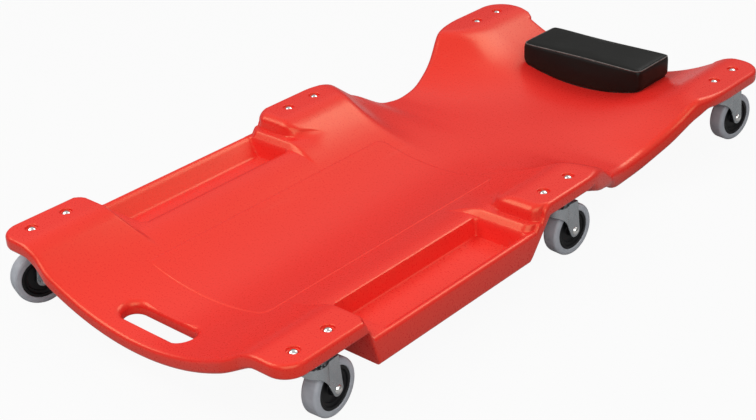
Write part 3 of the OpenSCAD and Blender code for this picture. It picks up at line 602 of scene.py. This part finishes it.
def round_off(mesh_edit, ring, way, radii, halves):
    """Extrudes a ring of vertices round a quarter circle, down or up, and then to mid height."""
    count = len(ring)
    base = [v.co.copy() for v in ring]
    outward = []
    for k in range(count):
        along = base[(k + 1) % count] - base[k - 1]
        outward.append(Vector((along.y, -along.x, 0)).normalized())
    for step in range(1, EDGE_STEPS + 2):
        turn = math.pi / 2 * min(step / EDGE_STEPS, 1)
        edges = [mesh_edit.edges.get((ring[k], ring[(k + 1) % count])) for k in range(count)]
        fresh = {made for made in bmesh.ops.extrude_edge_only(mesh_edit, edges=edges)["geom"]
                 if isinstance(made, bmesh.types.BMVert)}
        ring = [next(e.other_vert(v) for e in v.link_edges if e.other_vert(v) in fresh)
                for v in ring]
        for k, vert in enumerate(ring):
            drop = halves[k] if step > EDGE_STEPS else radii[k] * (1 - math.cos(turn))
            vert.co = base[k] + outward[k] * radii[k] * math.sin(turn) - Vector((0, 0, way * drop))
    return ring


shell = bmesh.new()
top_ring, radii = surface(shell, top_height)
low_ring, radii = surface(shell, under_height)
halves = [(high.co.z - low.co.z) / 2 for high, low in zip(top_ring, low_ring)]
top_ring = round_off(shell, top_ring, 1, radii, halves)
low_ring = round_off(shell, low_ring, -1, radii, halves)
bmesh.ops.remove_doubles(shell, verts=top_ring + low_ring, dist=0.01)
bmesh.ops.recalc_face_normals(shell, faces=shell.faces)
print("deck surface:", len(shell.faces), "faces, open edges:",
      sum(e.is_boundary for e in shell.edges), "litres:", round(shell.calc_volume() / 1e6, 3))
deck = make_object("deck_moulding", shell)

# %% [markdown]
# ## The moulded deck: its hand slot
# The hand slot is cut out with a shape that is wider at the surface, so that its rim comes out
# rounded as it does in a mould. The shape is a stack of rings, which follow the bed's trough.

# %% Cut the hand slot
LIP, SLOT_SIDES = 7.0, 64


def quarter(count):
    """Angles from nothing to a quarter turn, in equal steps."""
    return [math.pi / 2 * k / count for k in range(count + 1)]


def slot_ring(mesh_edit, grow, depth):
    """One ring of the slot's cutter, grown by a distance and set at a depth below the bed."""
    ring = bmesh.ops.create_circle(mesh_edit, segments=SLOT_SIDES, radius=1)["verts"]
    for k, vert in enumerate(ring):
        angle, radius = 2 * math.pi * (k + 0.5) / SLOT_SIDES, SLOT_W / 2 + grow
        x = math.cos(angle) * radius + math.copysign((SLOT_L - SLOT_W) / 2, math.cos(angle))
        bed = BED_Z + float(trough(BED_R, x))
        vert.co = (x, SLOT_Y + math.sin(angle) * radius, bed + depth)
    return ring


levels = [(LIP * 1.6, 7)]
levels += [(LIP * (1 - math.sin(a)), -LIP * (1 - math.cos(a))) for a in quarter(6)]
levels += [(LIP / 2 * (1 - math.sin(a)), -BED_T + LIP / 2 * (1 - math.cos(a)))
           for a in quarter(4)[::-1]]
levels.append((LIP, -BED_T - 7))
slot = bmesh.new()
rings = [slot_ring(slot, grow, depth) for grow, depth in levels]
for low, high in zip(rings, rings[1:]):
    for k in range(SLOT_SIDES):
        n = (k + 1) % SLOT_SIDES
        slot.faces.new((low[k], low[n], high[n], high[k]))
slot.faces.new(rings[0])
slot.faces.new(rings[-1][::-1])
bmesh.ops.recalc_face_normals(slot, faces=slot.faces)
cut(deck, make_object("slot_cutter", slot))
print("hand slot:", SLOT_L, "by", SLOT_W, "mm")

# %% [markdown]
# ## The moulded deck: its bolt and screw holes
# A hole is spun from half of its section, as a drill would cut it. The bolt recesses are wider
# at the surface, for a rounded rim. The screws of the headrest come from below.

# %% Cut the bolt and screw holes
RIM = 1.0
SCREW_X, SCREW_Y, SCREW_HEAD_R, SCREW_HOLE_R, SCREW_HEAD_Z = 60.0, 20.5, 5.5, 2.2, 42


def lathe(profile, steps=48):
    """Spins a line of radius and height pairs about Z into a closed shape."""
    turned = bmesh.new()
    verts = [turned.verts.new((r, 0, z)) for r, z in profile]
    edges = [turned.edges.new(pair) for pair in zip(verts, verts[1:])]
    bmesh.ops.spin(turned, geom=verts + edges, cent=(0, 0, 0), axis=(0, 0, 1),
                   angle=2 * math.pi, steps=steps, use_merge=True)
    bmesh.ops.remove_doubles(turned, verts=turned.verts, dist=0.001)
    bmesh.ops.recalc_face_normals(turned, faces=turned.faces)
    return turned


def gather(target, source, places):
    """Adds a copy of a source bmesh to the target at each place."""
    stamp = bpy.data.meshes.new("stamp")
    source.to_mesh(stamp)
    source.free()
    for place in places:
        before = len(target.verts)
        target.from_mesh(stamp)
        target.verts.ensure_lookup_table()
        bmesh.ops.translate(target, vec=place, verts=target.verts[before:])
    bpy.data.meshes.remove(stamp)


pads = [(s * x, y) for s in (-1, 1) for x, y in zip(PAD_X, PAD_Y)]
bolts = [(x, y + s * BOLT_GAP / 2) for x, y in pads for s in (-1, 1)]
head_z = PAD_Z - RECESS_D
recess = [(0, 80), (BOLT_HOLE_R, 80), (BOLT_HOLE_R, head_z), (RECESS_R - 0.8, head_z),
          (RECESS_R - 0.2, head_z + 0.4), (RECESS_R, head_z + 1)]
recess += [(RECESS_R + RIM * (1 - math.cos(a)), PAD_Z - RIM + RIM * math.sin(a))
           for a in quarter(4)]
recess += [(RECESS_R + RIM + 0.6, PAD_Z + 3), (0, PAD_Z + 3)]
holes = bmesh.new()
gather(holes, lathe(recess), [(x, y, 0) for x, y in bolts])
cut(deck, make_object("recess_cutter", holes))
screw_hole = [(0, -5), (SCREW_HEAD_R, -5), (SCREW_HEAD_R, SCREW_HEAD_Z),
              (SCREW_HOLE_R, SCREW_HEAD_Z), (SCREW_HOLE_R, 80), (0, 80)]
screws = bmesh.new()
gather(screws, lathe(screw_hole, 32),
       [(sx * SCREW_X, REST_Y + sy * SCREW_Y, 0) for sx in (-1, 1) for sy in (-1, 1)])
cut(deck, make_object("screw_cutter", screws))
reshade(deck, 34)
fit(deck, "deck", plastic, "deck", "deck_shell")

# %% [markdown]
# ## The deck bolts
# Each caster is held by two bolts with low domed heads, which sit in the recesses. A dome with
# a small flat rim is spun from its outline, which is how such a head is really turned. The
# zinc of the casters is duller than the bolts, and its shine varies in soft clouds.

# %% Make the bolts
zinc = new_finish("zinc_plate", (0.56, 0.58, 0.60), 0.34, metal=0.9, shine=0.5)
bloom = add_noise(zinc, 6, 4)
feed(zinc, COLOUR, add_ramp(zinc, bloom, (0.3, (0.41, 0.44, 0.46)), (0.7, (0.47, 0.49, 0.51))))
feed(zinc, ROUGHNESS, add_ramp(zinc, add_noise(zinc, 8, 3), (0.3, 0.20), (0.75, 0.30)))
feed(zinc, RELIEF, add_bump(zinc, add_noise(zinc, 5, 2), 0.15, 0.05))
bright = new_finish("bright_steel", (0.80, 0.80, 0.78), 0.16, metal=1.0)
feed(bright, ROUGHNESS, add_ramp(bright, add_noise(bright, 2, 4), (0.35, 0.10), (0.75, 0.28)))
HEAD_R, HEAD_H, HEAD_SIDE, BOLT_R = 5.25, 3.3, 0.7, 3.0
bolt_low_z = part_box("deck_bolts")[0][2] / MM
ball = (HEAD_R ** 2 + (HEAD_H - HEAD_SIDE) ** 2) / (2 * (HEAD_H - HEAD_SIDE))
dome = [(0, bolt_low_z), (BOLT_R - 0.6, bolt_low_z), (BOLT_R, bolt_low_z + 0.6),
        (BOLT_R, head_z + 0.02), (HEAD_R - 0.2, head_z + 0.02), (HEAD_R, head_z + 0.25),
        (HEAD_R, head_z + HEAD_SIDE)]
dome += [(ball * math.sin(a), head_z + HEAD_H - ball * (1 - math.cos(a)))
         for a in [math.asin(HEAD_R / ball) * (1 - k / 8) for k in range(1, 9)]]
heads = bmesh.new()
gather(heads, lathe(dome, 40), [(x, y, 0) for x, y in bolts])
bolt_heads = make_object("button_head_bolts", heads, 50)
fit(bolt_heads, "deck", bright, "bright", "deck_bolts")

# %% [markdown]
# ## The casters
# The six casters are alike, and each has its own swivel angle. Their places and angles come
# from the solid model's joints, so one helper can move a caster's mesh to each of them.

# %% Read where the casters stand
NAMES = ["foot_left", "mid_left", "head_left", "foot_right", "mid_right", "head_right"]
joints = {j["name"]: j for j in frame["joints"]}
stands = {}
for name in NAMES:
    pivot, axle = joints[name + "_swivel"]["pos_m"], joints[name + "_spin"]["pos_m"]
    stands[name] = (Vector(pivot[:2]) / MM, math.atan2(axle[1] - pivot[1], axle[0] - pivot[0]))
TRAIL, AXLE_Z = 22.0, 34.0
print({name: (round(p.x), round(p.y), round(math.degrees(a))) for name, (p, a) in stands.items()})


def stand(mesh_edit, name):
    """Turns a caster part's mesh to the caster's angle and moves it to its pivot."""
    pivot, angle = stands[name]
    bmesh.ops.rotate(mesh_edit, cent=(0, 0, 0), matrix=Matrix.Rotation(angle, 3, "Z"),
                     verts=mesh_edit.verts)
    bmesh.ops.translate(mesh_edit, vec=(pivot.x, pivot.y, 0), verts=mesh_edit.verts)
    return mesh_edit


def to_axle(mesh_edit):
    """Turns a spun part from the Z axis onto the wheel's axle."""
    quarter_turn = Matrix.Rotation(math.radians(90), 3, "X")
    bmesh.ops.rotate(mesh_edit, cent=(0, 0, 0), matrix=quarter_turn, verts=mesh_edit.verts)
    bmesh.ops.translate(mesh_edit, vec=(TRAIL, 0, AXLE_Z), verts=mesh_edit.verts)
    return mesh_edit


# %% [markdown]
# ## The wheels
# A wheel is a black moulded hub with a soft grey tread round it. Both are turned shapes, so
# each is spun from half of its section. The tread's shoulders are round, and a ring of it shows
# beside the hub.

# %% Make the treads and hubs
WHEEL_R, WHEEL_W, TREAD_T, SHOULDER = 34.0, 21.0, 8.5, 4.0
rubber = new_finish("grey_rubber", (0.42, 0.44, 0.48), 0.6)
dust = add_ramp(rubber, add_noise(rubber, 5, 5), (0.35, 0.0), (0.75, 1.0))
feed(rubber, COLOUR, add_mix(rubber, dust, (0.40, 0.42, 0.46), (0.48, 0.50, 0.54)))
feed(rubber, RELIEF, add_bump(rubber, add_noise(rubber, 0.9, 4), 0.3, 0.06))
black = new_finish("black_hub", (0.007, 0.007, 0.008), 0.42, shine=0.25)
feed(black, ROUGHNESS, add_ramp(black, add_noise(black, 4, 4), (0.3, 0.34), (0.7, 0.55)))
feed(black, RELIEF, add_bump(black, add_noise(black, 0.8, 3), 0.3, 0.04))
rim_r = WHEEL_R - TREAD_T
tread_line = [(rim_r, -WHEEL_W / 2 + 0.6), (rim_r + 0.6, -WHEEL_W / 2)]
tread_line += [(WHEEL_R - SHOULDER + SHOULDER * math.sin(a),
                -WHEEL_W / 2 + SHOULDER * (1 - math.cos(a))) for a in quarter(8)]
tread_line += [(r, -z) for r, z in tread_line[::-1]]
tread_line.append(tread_line[0])
hub_half = [(4.85, 11.7), (8.0, 11.7), (8.4, 11.3), (8.6, 6.2), (9.2, 5.6), (17.2, 5.0),
            (17.8, 5.6), (18.0, 6.4), (20.4, 6.8), (21.2, 7.4), (21.6, 9.0), (22.2, 9.5),
            (rim_r - 0.5, 9.5), (rim_r - 0.05, 9.1)]
hub_line = hub_half + [(r, -z) for r, z in hub_half[::-1]]
hub_line.append(hub_line[0])
for name in NAMES:
    tread = stand(to_axle(lathe(tread_line, 72)), name)
    fit(make_object(name + "_tyre", tread, 40), name + "_wheel", rubber, "tread", name + "_tread")
    hub = stand(to_axle(lathe(hub_line, 64)), name)
    fit(make_object(name + "_wheel_hub", hub, 30), name + "_wheel", black, "hub", name + "_hub")

# %% [markdown]
# ## The forks
# A fork is one piece of bent sheet: two legs that taper to the axle, and a round nose that
# joins them in front of the swivel. It is made as the press tool makes it: the bent strip is
# trimmed by the leg's side outline, and then the cut edges are rounded a little. Nose and legs
# meet at a crease, because the photograph shows a bent line there.

# %% Make the forks
FORK_GAP, FORK_T, CROWN_Z, LEG_R, BEND_X, NOSE_SIDES = 24.0, 2.0, 74.95, 8.0, 9.0, 28
RACE_R, AXLE_BORE_R, PIN_BORE_R, CUT_EDGE = 17.0, 3.08, 3.58, 0.5
CREASE_FROM, ROUNDED_FROM = 18, 40
LEG_FRONT = [(12, 36.5), (9, 43), (6, 48), (2.5, 53), (-1, 57), (-5, 60.3), (-9, 62.2), (-13, 63)]


def pull(mesh_edit, points, way):
    """A flat outline of points pulled along a way into a solid."""
    face = mesh_edit.faces.new([mesh_edit.verts.new(point) for point in points])
    made = bmesh.ops.extrude_face_region(mesh_edit, geom=[face])["geom"]
    moved = [part for part in made if isinstance(part, bmesh.types.BMVert)]
    bmesh.ops.translate(mesh_edit, vec=way, verts=moved)
    bmesh.ops.recalc_face_normals(mesh_edit, faces=mesh_edit.faces)


def strip_plan(mesh_edit, side, reach, low, high):
    """A solid with the fork's plan: a round nose that meets straight sides at a crease."""
    middle = BEND_X ** 2 / 2 / (side + BEND_X)
    start = math.atan2(side, BEND_X - middle)
    plan = [(middle + (side + middle) * math.cos(a), (side + middle) * math.sin(a))
            for a in np.linspace(start, 2 * math.pi - start, NOSE_SIDES + 1)]
    plan += [(reach, -side), (reach, side)]
    pull(mesh_edit, [(x, y, low) for x, y in plan], (0, 0, high - low))


def side_outline(mesh_edit):
    """The side of a leg as a slab right across the fork."""
    nose = FORK_GAP / 2 + FORK_T + 1
    outline = [(-nose, CROWN_Z + 5), (TRAIL + 3, CROWN_Z + 5), (TRAIL + LEG_R, AXLE_Z)]
    outline += [(TRAIL + LEG_R * math.cos(a), AXLE_Z - LEG_R * math.sin(a))
                for a in [math.radians(150) * k / 14 for k in range(1, 15)]]
    outline += LEG_FRONT + [(-nose, LEG_FRONT[-1][1])]
    pull(mesh_edit, [(x, -40, z) for x, z in outline], (0, 80, 0))


def pin_of(radius, low, high, steps=32):
    """A round pin about Z between two heights."""
    return lathe([(0, low), (radius, low), (radius, high), (0, high)], steps)


outer, inner, trim = bmesh.new(), bmesh.new(), bmesh.new()
strip_plan(outer, FORK_GAP / 2 + FORK_T, TRAIL + LEG_R, 10, CROWN_Z)
strip_plan(inner, FORK_GAP / 2, TRAIL + LEG_R + 5, 5, CROWN_Z - FORK_T)
side_outline(trim)
fork_form = make_object("fork_form", outer)
cut(fork_form, make_object("fork_inner", inner))
cut(fork_form, make_object("fork_trim", trim), "INTERSECT")
cut(fork_form, make_object("fork_race", pin_of(RACE_R, CROWN_Z - FORK_T, CROWN_Z, 48)), "UNION")
cut(fork_form, make_object("fork_bore", to_axle(pin_of(AXLE_BORE_R, -20, 20))))
cut(fork_form, make_object("fork_pin", pin_of(PIN_BORE_R, 60, 80)))
for name in NAMES:
    copy = bmesh.new()
    copy.from_mesh(fork_form.data)
    bmesh.ops.scale(copy, vec=(1 / MM,) * 3, verts=copy.verts)
    fork = make_object(name + "_fork_sheet", stand(copy, name), CREASE_FROM)
    soften = fork.modifiers.new("edges", "BEVEL")
    soften.width, soften.segments, soften.limit_method = CUT_EDGE * MM, 2, "ANGLE"
    soften.angle_limit = math.radians(ROUNDED_FROM)
    fit(fork, name + "_caster", zinc, "zinc", name + "_fork")
bpy.data.objects.remove(fork_form)

# %% [markdown]
# ## The headrest: its shape
# The headrest is a block of foam on a board, pulled tight in black vinyl. Its underside follows
# the trough. The block is made a little too small, and then a cloth simulation blows its cover
# up: the sides swell between the corners, as stuffed vinyl does. How far a point may move is
# capped and then scaled down, because the photograph shows a tight and nearly straight block.
# Each point's way is evened out with its neighbours', so no lump stays, and the underside stays
# where the board holds it.

# %% Swell the headrest's cover
REST_W, REST_L, REST_Z, REST_R, REST_GAP = 206.0, 85.0, 99.5, 6.0, 0.4
VOXEL, PRESSURE, FRAMES, FREE_OVER = 5.0, 4, 20, 14.0
SWELL_MOST, SWELL_SHARE, CALM_STEPS = 5.0, 0.4, 3


def place_block(verts):
    """Moves a cube's points to the block's outline, flat top and curved underside."""
    for vert in verts:
        sx, sy, sz = 2 * vert.co.x, 2 * vert.co.y, vert.co.z + 0.5
        x, y = sx * REST_W / 2, sy * REST_L / 2
        dx, dy = abs(x) - REST_W / 2 + REST_R, abs(y) - REST_L / 2 + REST_R
        if dx > 0 and dy > 0:
            reach, far = math.hypot(dx, dy), max(dx, dy)
            x = math.copysign(REST_W / 2 - REST_R + dx * far / reach, x)
            y = math.copysign(REST_L / 2 - REST_R + dy * far / reach, y)
        low = BED_Z + float(trough(BED_R, abs(x))) + REST_GAP
        vert.co = (x, y + REST_Y, low + (REST_Z - low) * sz)


def swollen(block):
    """The block after cloth pressure, with each point's way capped and the underside held."""
    step = block.modifiers.new("voxels", "REMESH")
    step.mode, step.voxel_size = "VOXEL", VOXEL * MM
    settled = final_mesh(block)
    block.modifiers.clear()
    block.data = settled
    start = np.array([v.co[:] for v in settled.vertices])
    cloth = block.modifiers.new("cloth", "CLOTH")
    cloth.settings.use_pressure, cloth.settings.uniform_pressure_force = True, PRESSURE
    cloth.settings.effector_weights.gravity = 0
    for number in range(1, FRAMES + 1):
        scene.frame_set(number)
    blown = final_mesh(block)
    block.modifiers.clear()
    scene.frame_set(1)
    moved = np.array([v.co[:] for v in blown.vertices]) - start
    length = np.maximum(np.linalg.norm(moved, axis=1), 1e-9)
    floor_z = (BED_Z + trough(BED_R, np.abs(start[:, 0]) / MM) + REST_GAP) * MM
    free = np.clip((start[:, 2] - floor_z) / (FREE_OVER * MM), 0, 1)
    moved *= (np.minimum(length, SWELL_MOST * MM) / length * free)[:, None] * SWELL_SHARE
    pairs = np.array([edge.vertices[:] for edge in block.data.edges])
    ways = np.bincount(pairs.ravel(), minlength=len(start))[:, None]
    for _ in range(CALM_STEPS):
        near = np.zeros_like(moved)
        np.add.at(near, pairs[:, 0], moved[pairs[:, 1]])
        np.add.at(near, pairs[:, 1], moved[pairs[:, 0]])
        moved = (moved + near / ways) / 2
    for vert, place in zip(block.data.vertices, start + moved):
        vert.co = place
    most = float(np.linalg.norm(moved, axis=1).max() / MM)
    print("the cover moved by at most", round(most, 2), "mm")


pad = bmesh.new()
bmesh.ops.create_cube(pad, size=1)
bmesh.ops.subdivide_edges(pad, edges=pad.edges, cuts=15, use_grid_fill=True)
place_block(pad.verts)
headrest = make_object("headrest_cover_vinyl", pad, 60)
swollen(headrest)
smooth = headrest.modifiers.new("smooth", "SUBSURF")
smooth.levels = smooth.render_levels = 1

# %% [markdown]
# ## The headrest: its seam and finish
# The cover is sewn along its upper edge, and the folded seam stands up as a thin bead that
# catches the light. Rays shot at the swollen cover find where the bead lies. The vinyl has a
# pebbled grain, and a second, slower bump gives small creases all over. The bead is painted
# paler than the cover, as a painted highlight along the seam, and its paler patches are partly
# painted highlight and partly rub wear.

# %% Sew and finish the headrest
SEAM_Z, SEAM_R, SEAM_SINK, SEAM_STEPS, SEAM_SQUARE = 96.5, 1.0, 0.2, 180, 0.3
PEBBLES_IN_A_METRE, RAY_M = 700, 0.06
vinyl = new_finish("black_vinyl", (0.006, 0.006, 0.005), 0.45, shine=0.2)
place = vinyl.node_tree.nodes.new("ShaderNodeTexCoord")
grain = vinyl.node_tree.nodes.new("ShaderNodeTexVoronoi")
grain.inputs["Scale"].default_value = PEBBLES_IN_A_METRE
vinyl.node_tree.links.new(place.outputs["Object"], grain.inputs["Vector"])
creases = add_bump(vinyl, add_noise(vinyl, 14, 2, (0.45, 1, 1)), 0.3, 0.7)
feed(vinyl, RELIEF, add_bump(vinyl, grain.outputs["Distance"], 0.3, 0.08, creases))
feed(vinyl, ROUGHNESS, add_ramp(vinyl, add_noise(vinyl, 25, 3), (0.3, 0.38), (0.7, 0.52)))
# The bead's paler colour is a painted highlight along the seam; its pale patches are partly painted
# highlight and partly rub wear.
bead_painted_highlight = new_finish("vinyl_bead_painted_highlight", (0.05, 0.045, 0.04), 0.35)
rubs_and_painted_highlight = add_noise(bead_painted_highlight, 4, 3)
feed(bead_painted_highlight, COLOUR,
     add_ramp(bead_painted_highlight, rubs_and_painted_highlight, (0.3, (0.05, 0.045, 0.04)), (0.7, (0.14, 0.125, 0.115))))


def squarish(value):
    """A sine or cosine drawn out, so that a circle of them becomes nearly a rectangle."""
    return math.copysign(abs(value) ** SEAM_SQUARE, value)


skin = BVHTree.FromObject(headrest, bpy.context.evaluated_depsgraph_get())
middle = Vector((0, REST_Y, SEAM_Z)) * MM
seam = bpy.data.curves.new("seam_path", "CURVE")
seam.dimensions, seam.bevel_depth, seam.bevel_resolution = "3D", SEAM_R * MM, 2
line = seam.splines.new("POLY")
line.points.add(SEAM_STEPS - 1)
line.use_cyclic_u = True
for k, point in enumerate(line.points):
    angle = 2 * math.pi * k / SEAM_STEPS
    wide = Vector((squarish(math.cos(angle)) * REST_W, squarish(math.sin(angle)) * REST_L, 0))
    wide *= MM / 2
    heart = middle + Vector((wide.x * 0.8, wide.y * 0.6, 0))
    outward = (middle + wide - heart).normalized()
    hit = skin.ray_cast(heart + outward * RAY_M, -outward)[0]
    point.co = (*(hit - outward * SEAM_SINK * MM), 1)
seam_holder = bpy.data.objects.new("seam_path", seam)
scene.collection.objects.link(seam_holder)
bead = bpy.data.objects.new("headrest_seam_bead", final_mesh(seam_holder))
scene.collection.objects.link(bead)
bpy.data.objects.remove(seam_holder)
fit(headrest, "deck", vinyl, "vinyl", "headrest_cover", "headrest_foam")
fit(bead, "deck", bead_painted_highlight, "vinyl")

# %% [markdown]
# ## The small parts that stay
# Plates, nuts, races, cups, rivets, axle bolts and balls already have the right shape in the
# solid model, and so has the plywood board under the headrest. They only get their finish: the
# axle bolts and the balls are bright, the board is dark, and the rest is zinc.

# %% Finish the solid pieces that stay
board_wood = new_finish("stained_plywood", (0.02, 0.014, 0.01), 0.7)
fibres = add_noise(board_wood, 5, 5, (0.08, 1, 3))
feed(board_wood, COLOUR,
     add_ramp(board_wood, fibres, (0.3, (0.012, 0.009, 0.007)), (0.7, (0.035, 0.024, 0.016))))
for node, part in frame["nodes"].items():
    if part.hide_render:
        continue
    shiny = node.endswith("axle_bolt") or node in ("upper_balls", "lower_balls")
    part.data.materials.clear()
    finish = board_wood if node == "headrest_board" else bright if shiny else zinc
    part.data.materials.append(finish)
print("kept:", sum(not part.hide_render for part in frame["nodes"].values()), "solid pieces")

# %% [markdown]
# ## The floor
# The creeper stands on a plain white floor. Most of the floor's white is shown to the camera
# only, so that it doesn't light the creeper from below, and the shadow stays visible.

# %% Lay the floor
FLOOR_HALF, FLOOR_SHOWN, FLOOR_GLOSS = 6000, 0.94, 0.1
sheet = bmesh.new()
bmesh.ops.create_grid(sheet, x_segments=1, y_segments=1, size=FLOOR_HALF)
floor = make_object("floor", sheet)
paper = new_finish("white_floor", (0.36, 0.36, 0.36), 0.9)
tree = paper.node_tree
glow, both = tree.nodes.new("ShaderNodeEmission"), tree.nodes.new("ShaderNodeMixShader")
glow.inputs["Color"].default_value = (1, 1, 1, 1)
tree.links.new(white_share(tree, FLOOR_SHOWN, FLOOR_GLOSS), both.inputs[0])
tree.links.new(tree.nodes["Principled BSDF"].outputs[0], both.inputs[1])
tree.links.new(glow.outputs[0], both.inputs[2])
tree.links.new(both.outputs[0], tree.nodes["Material Output"].inputs["Surface"])
floor.data.materials.append(paper)
print("floor:", floor.name, "with its white shown to the camera by", FLOOR_SHOWN)
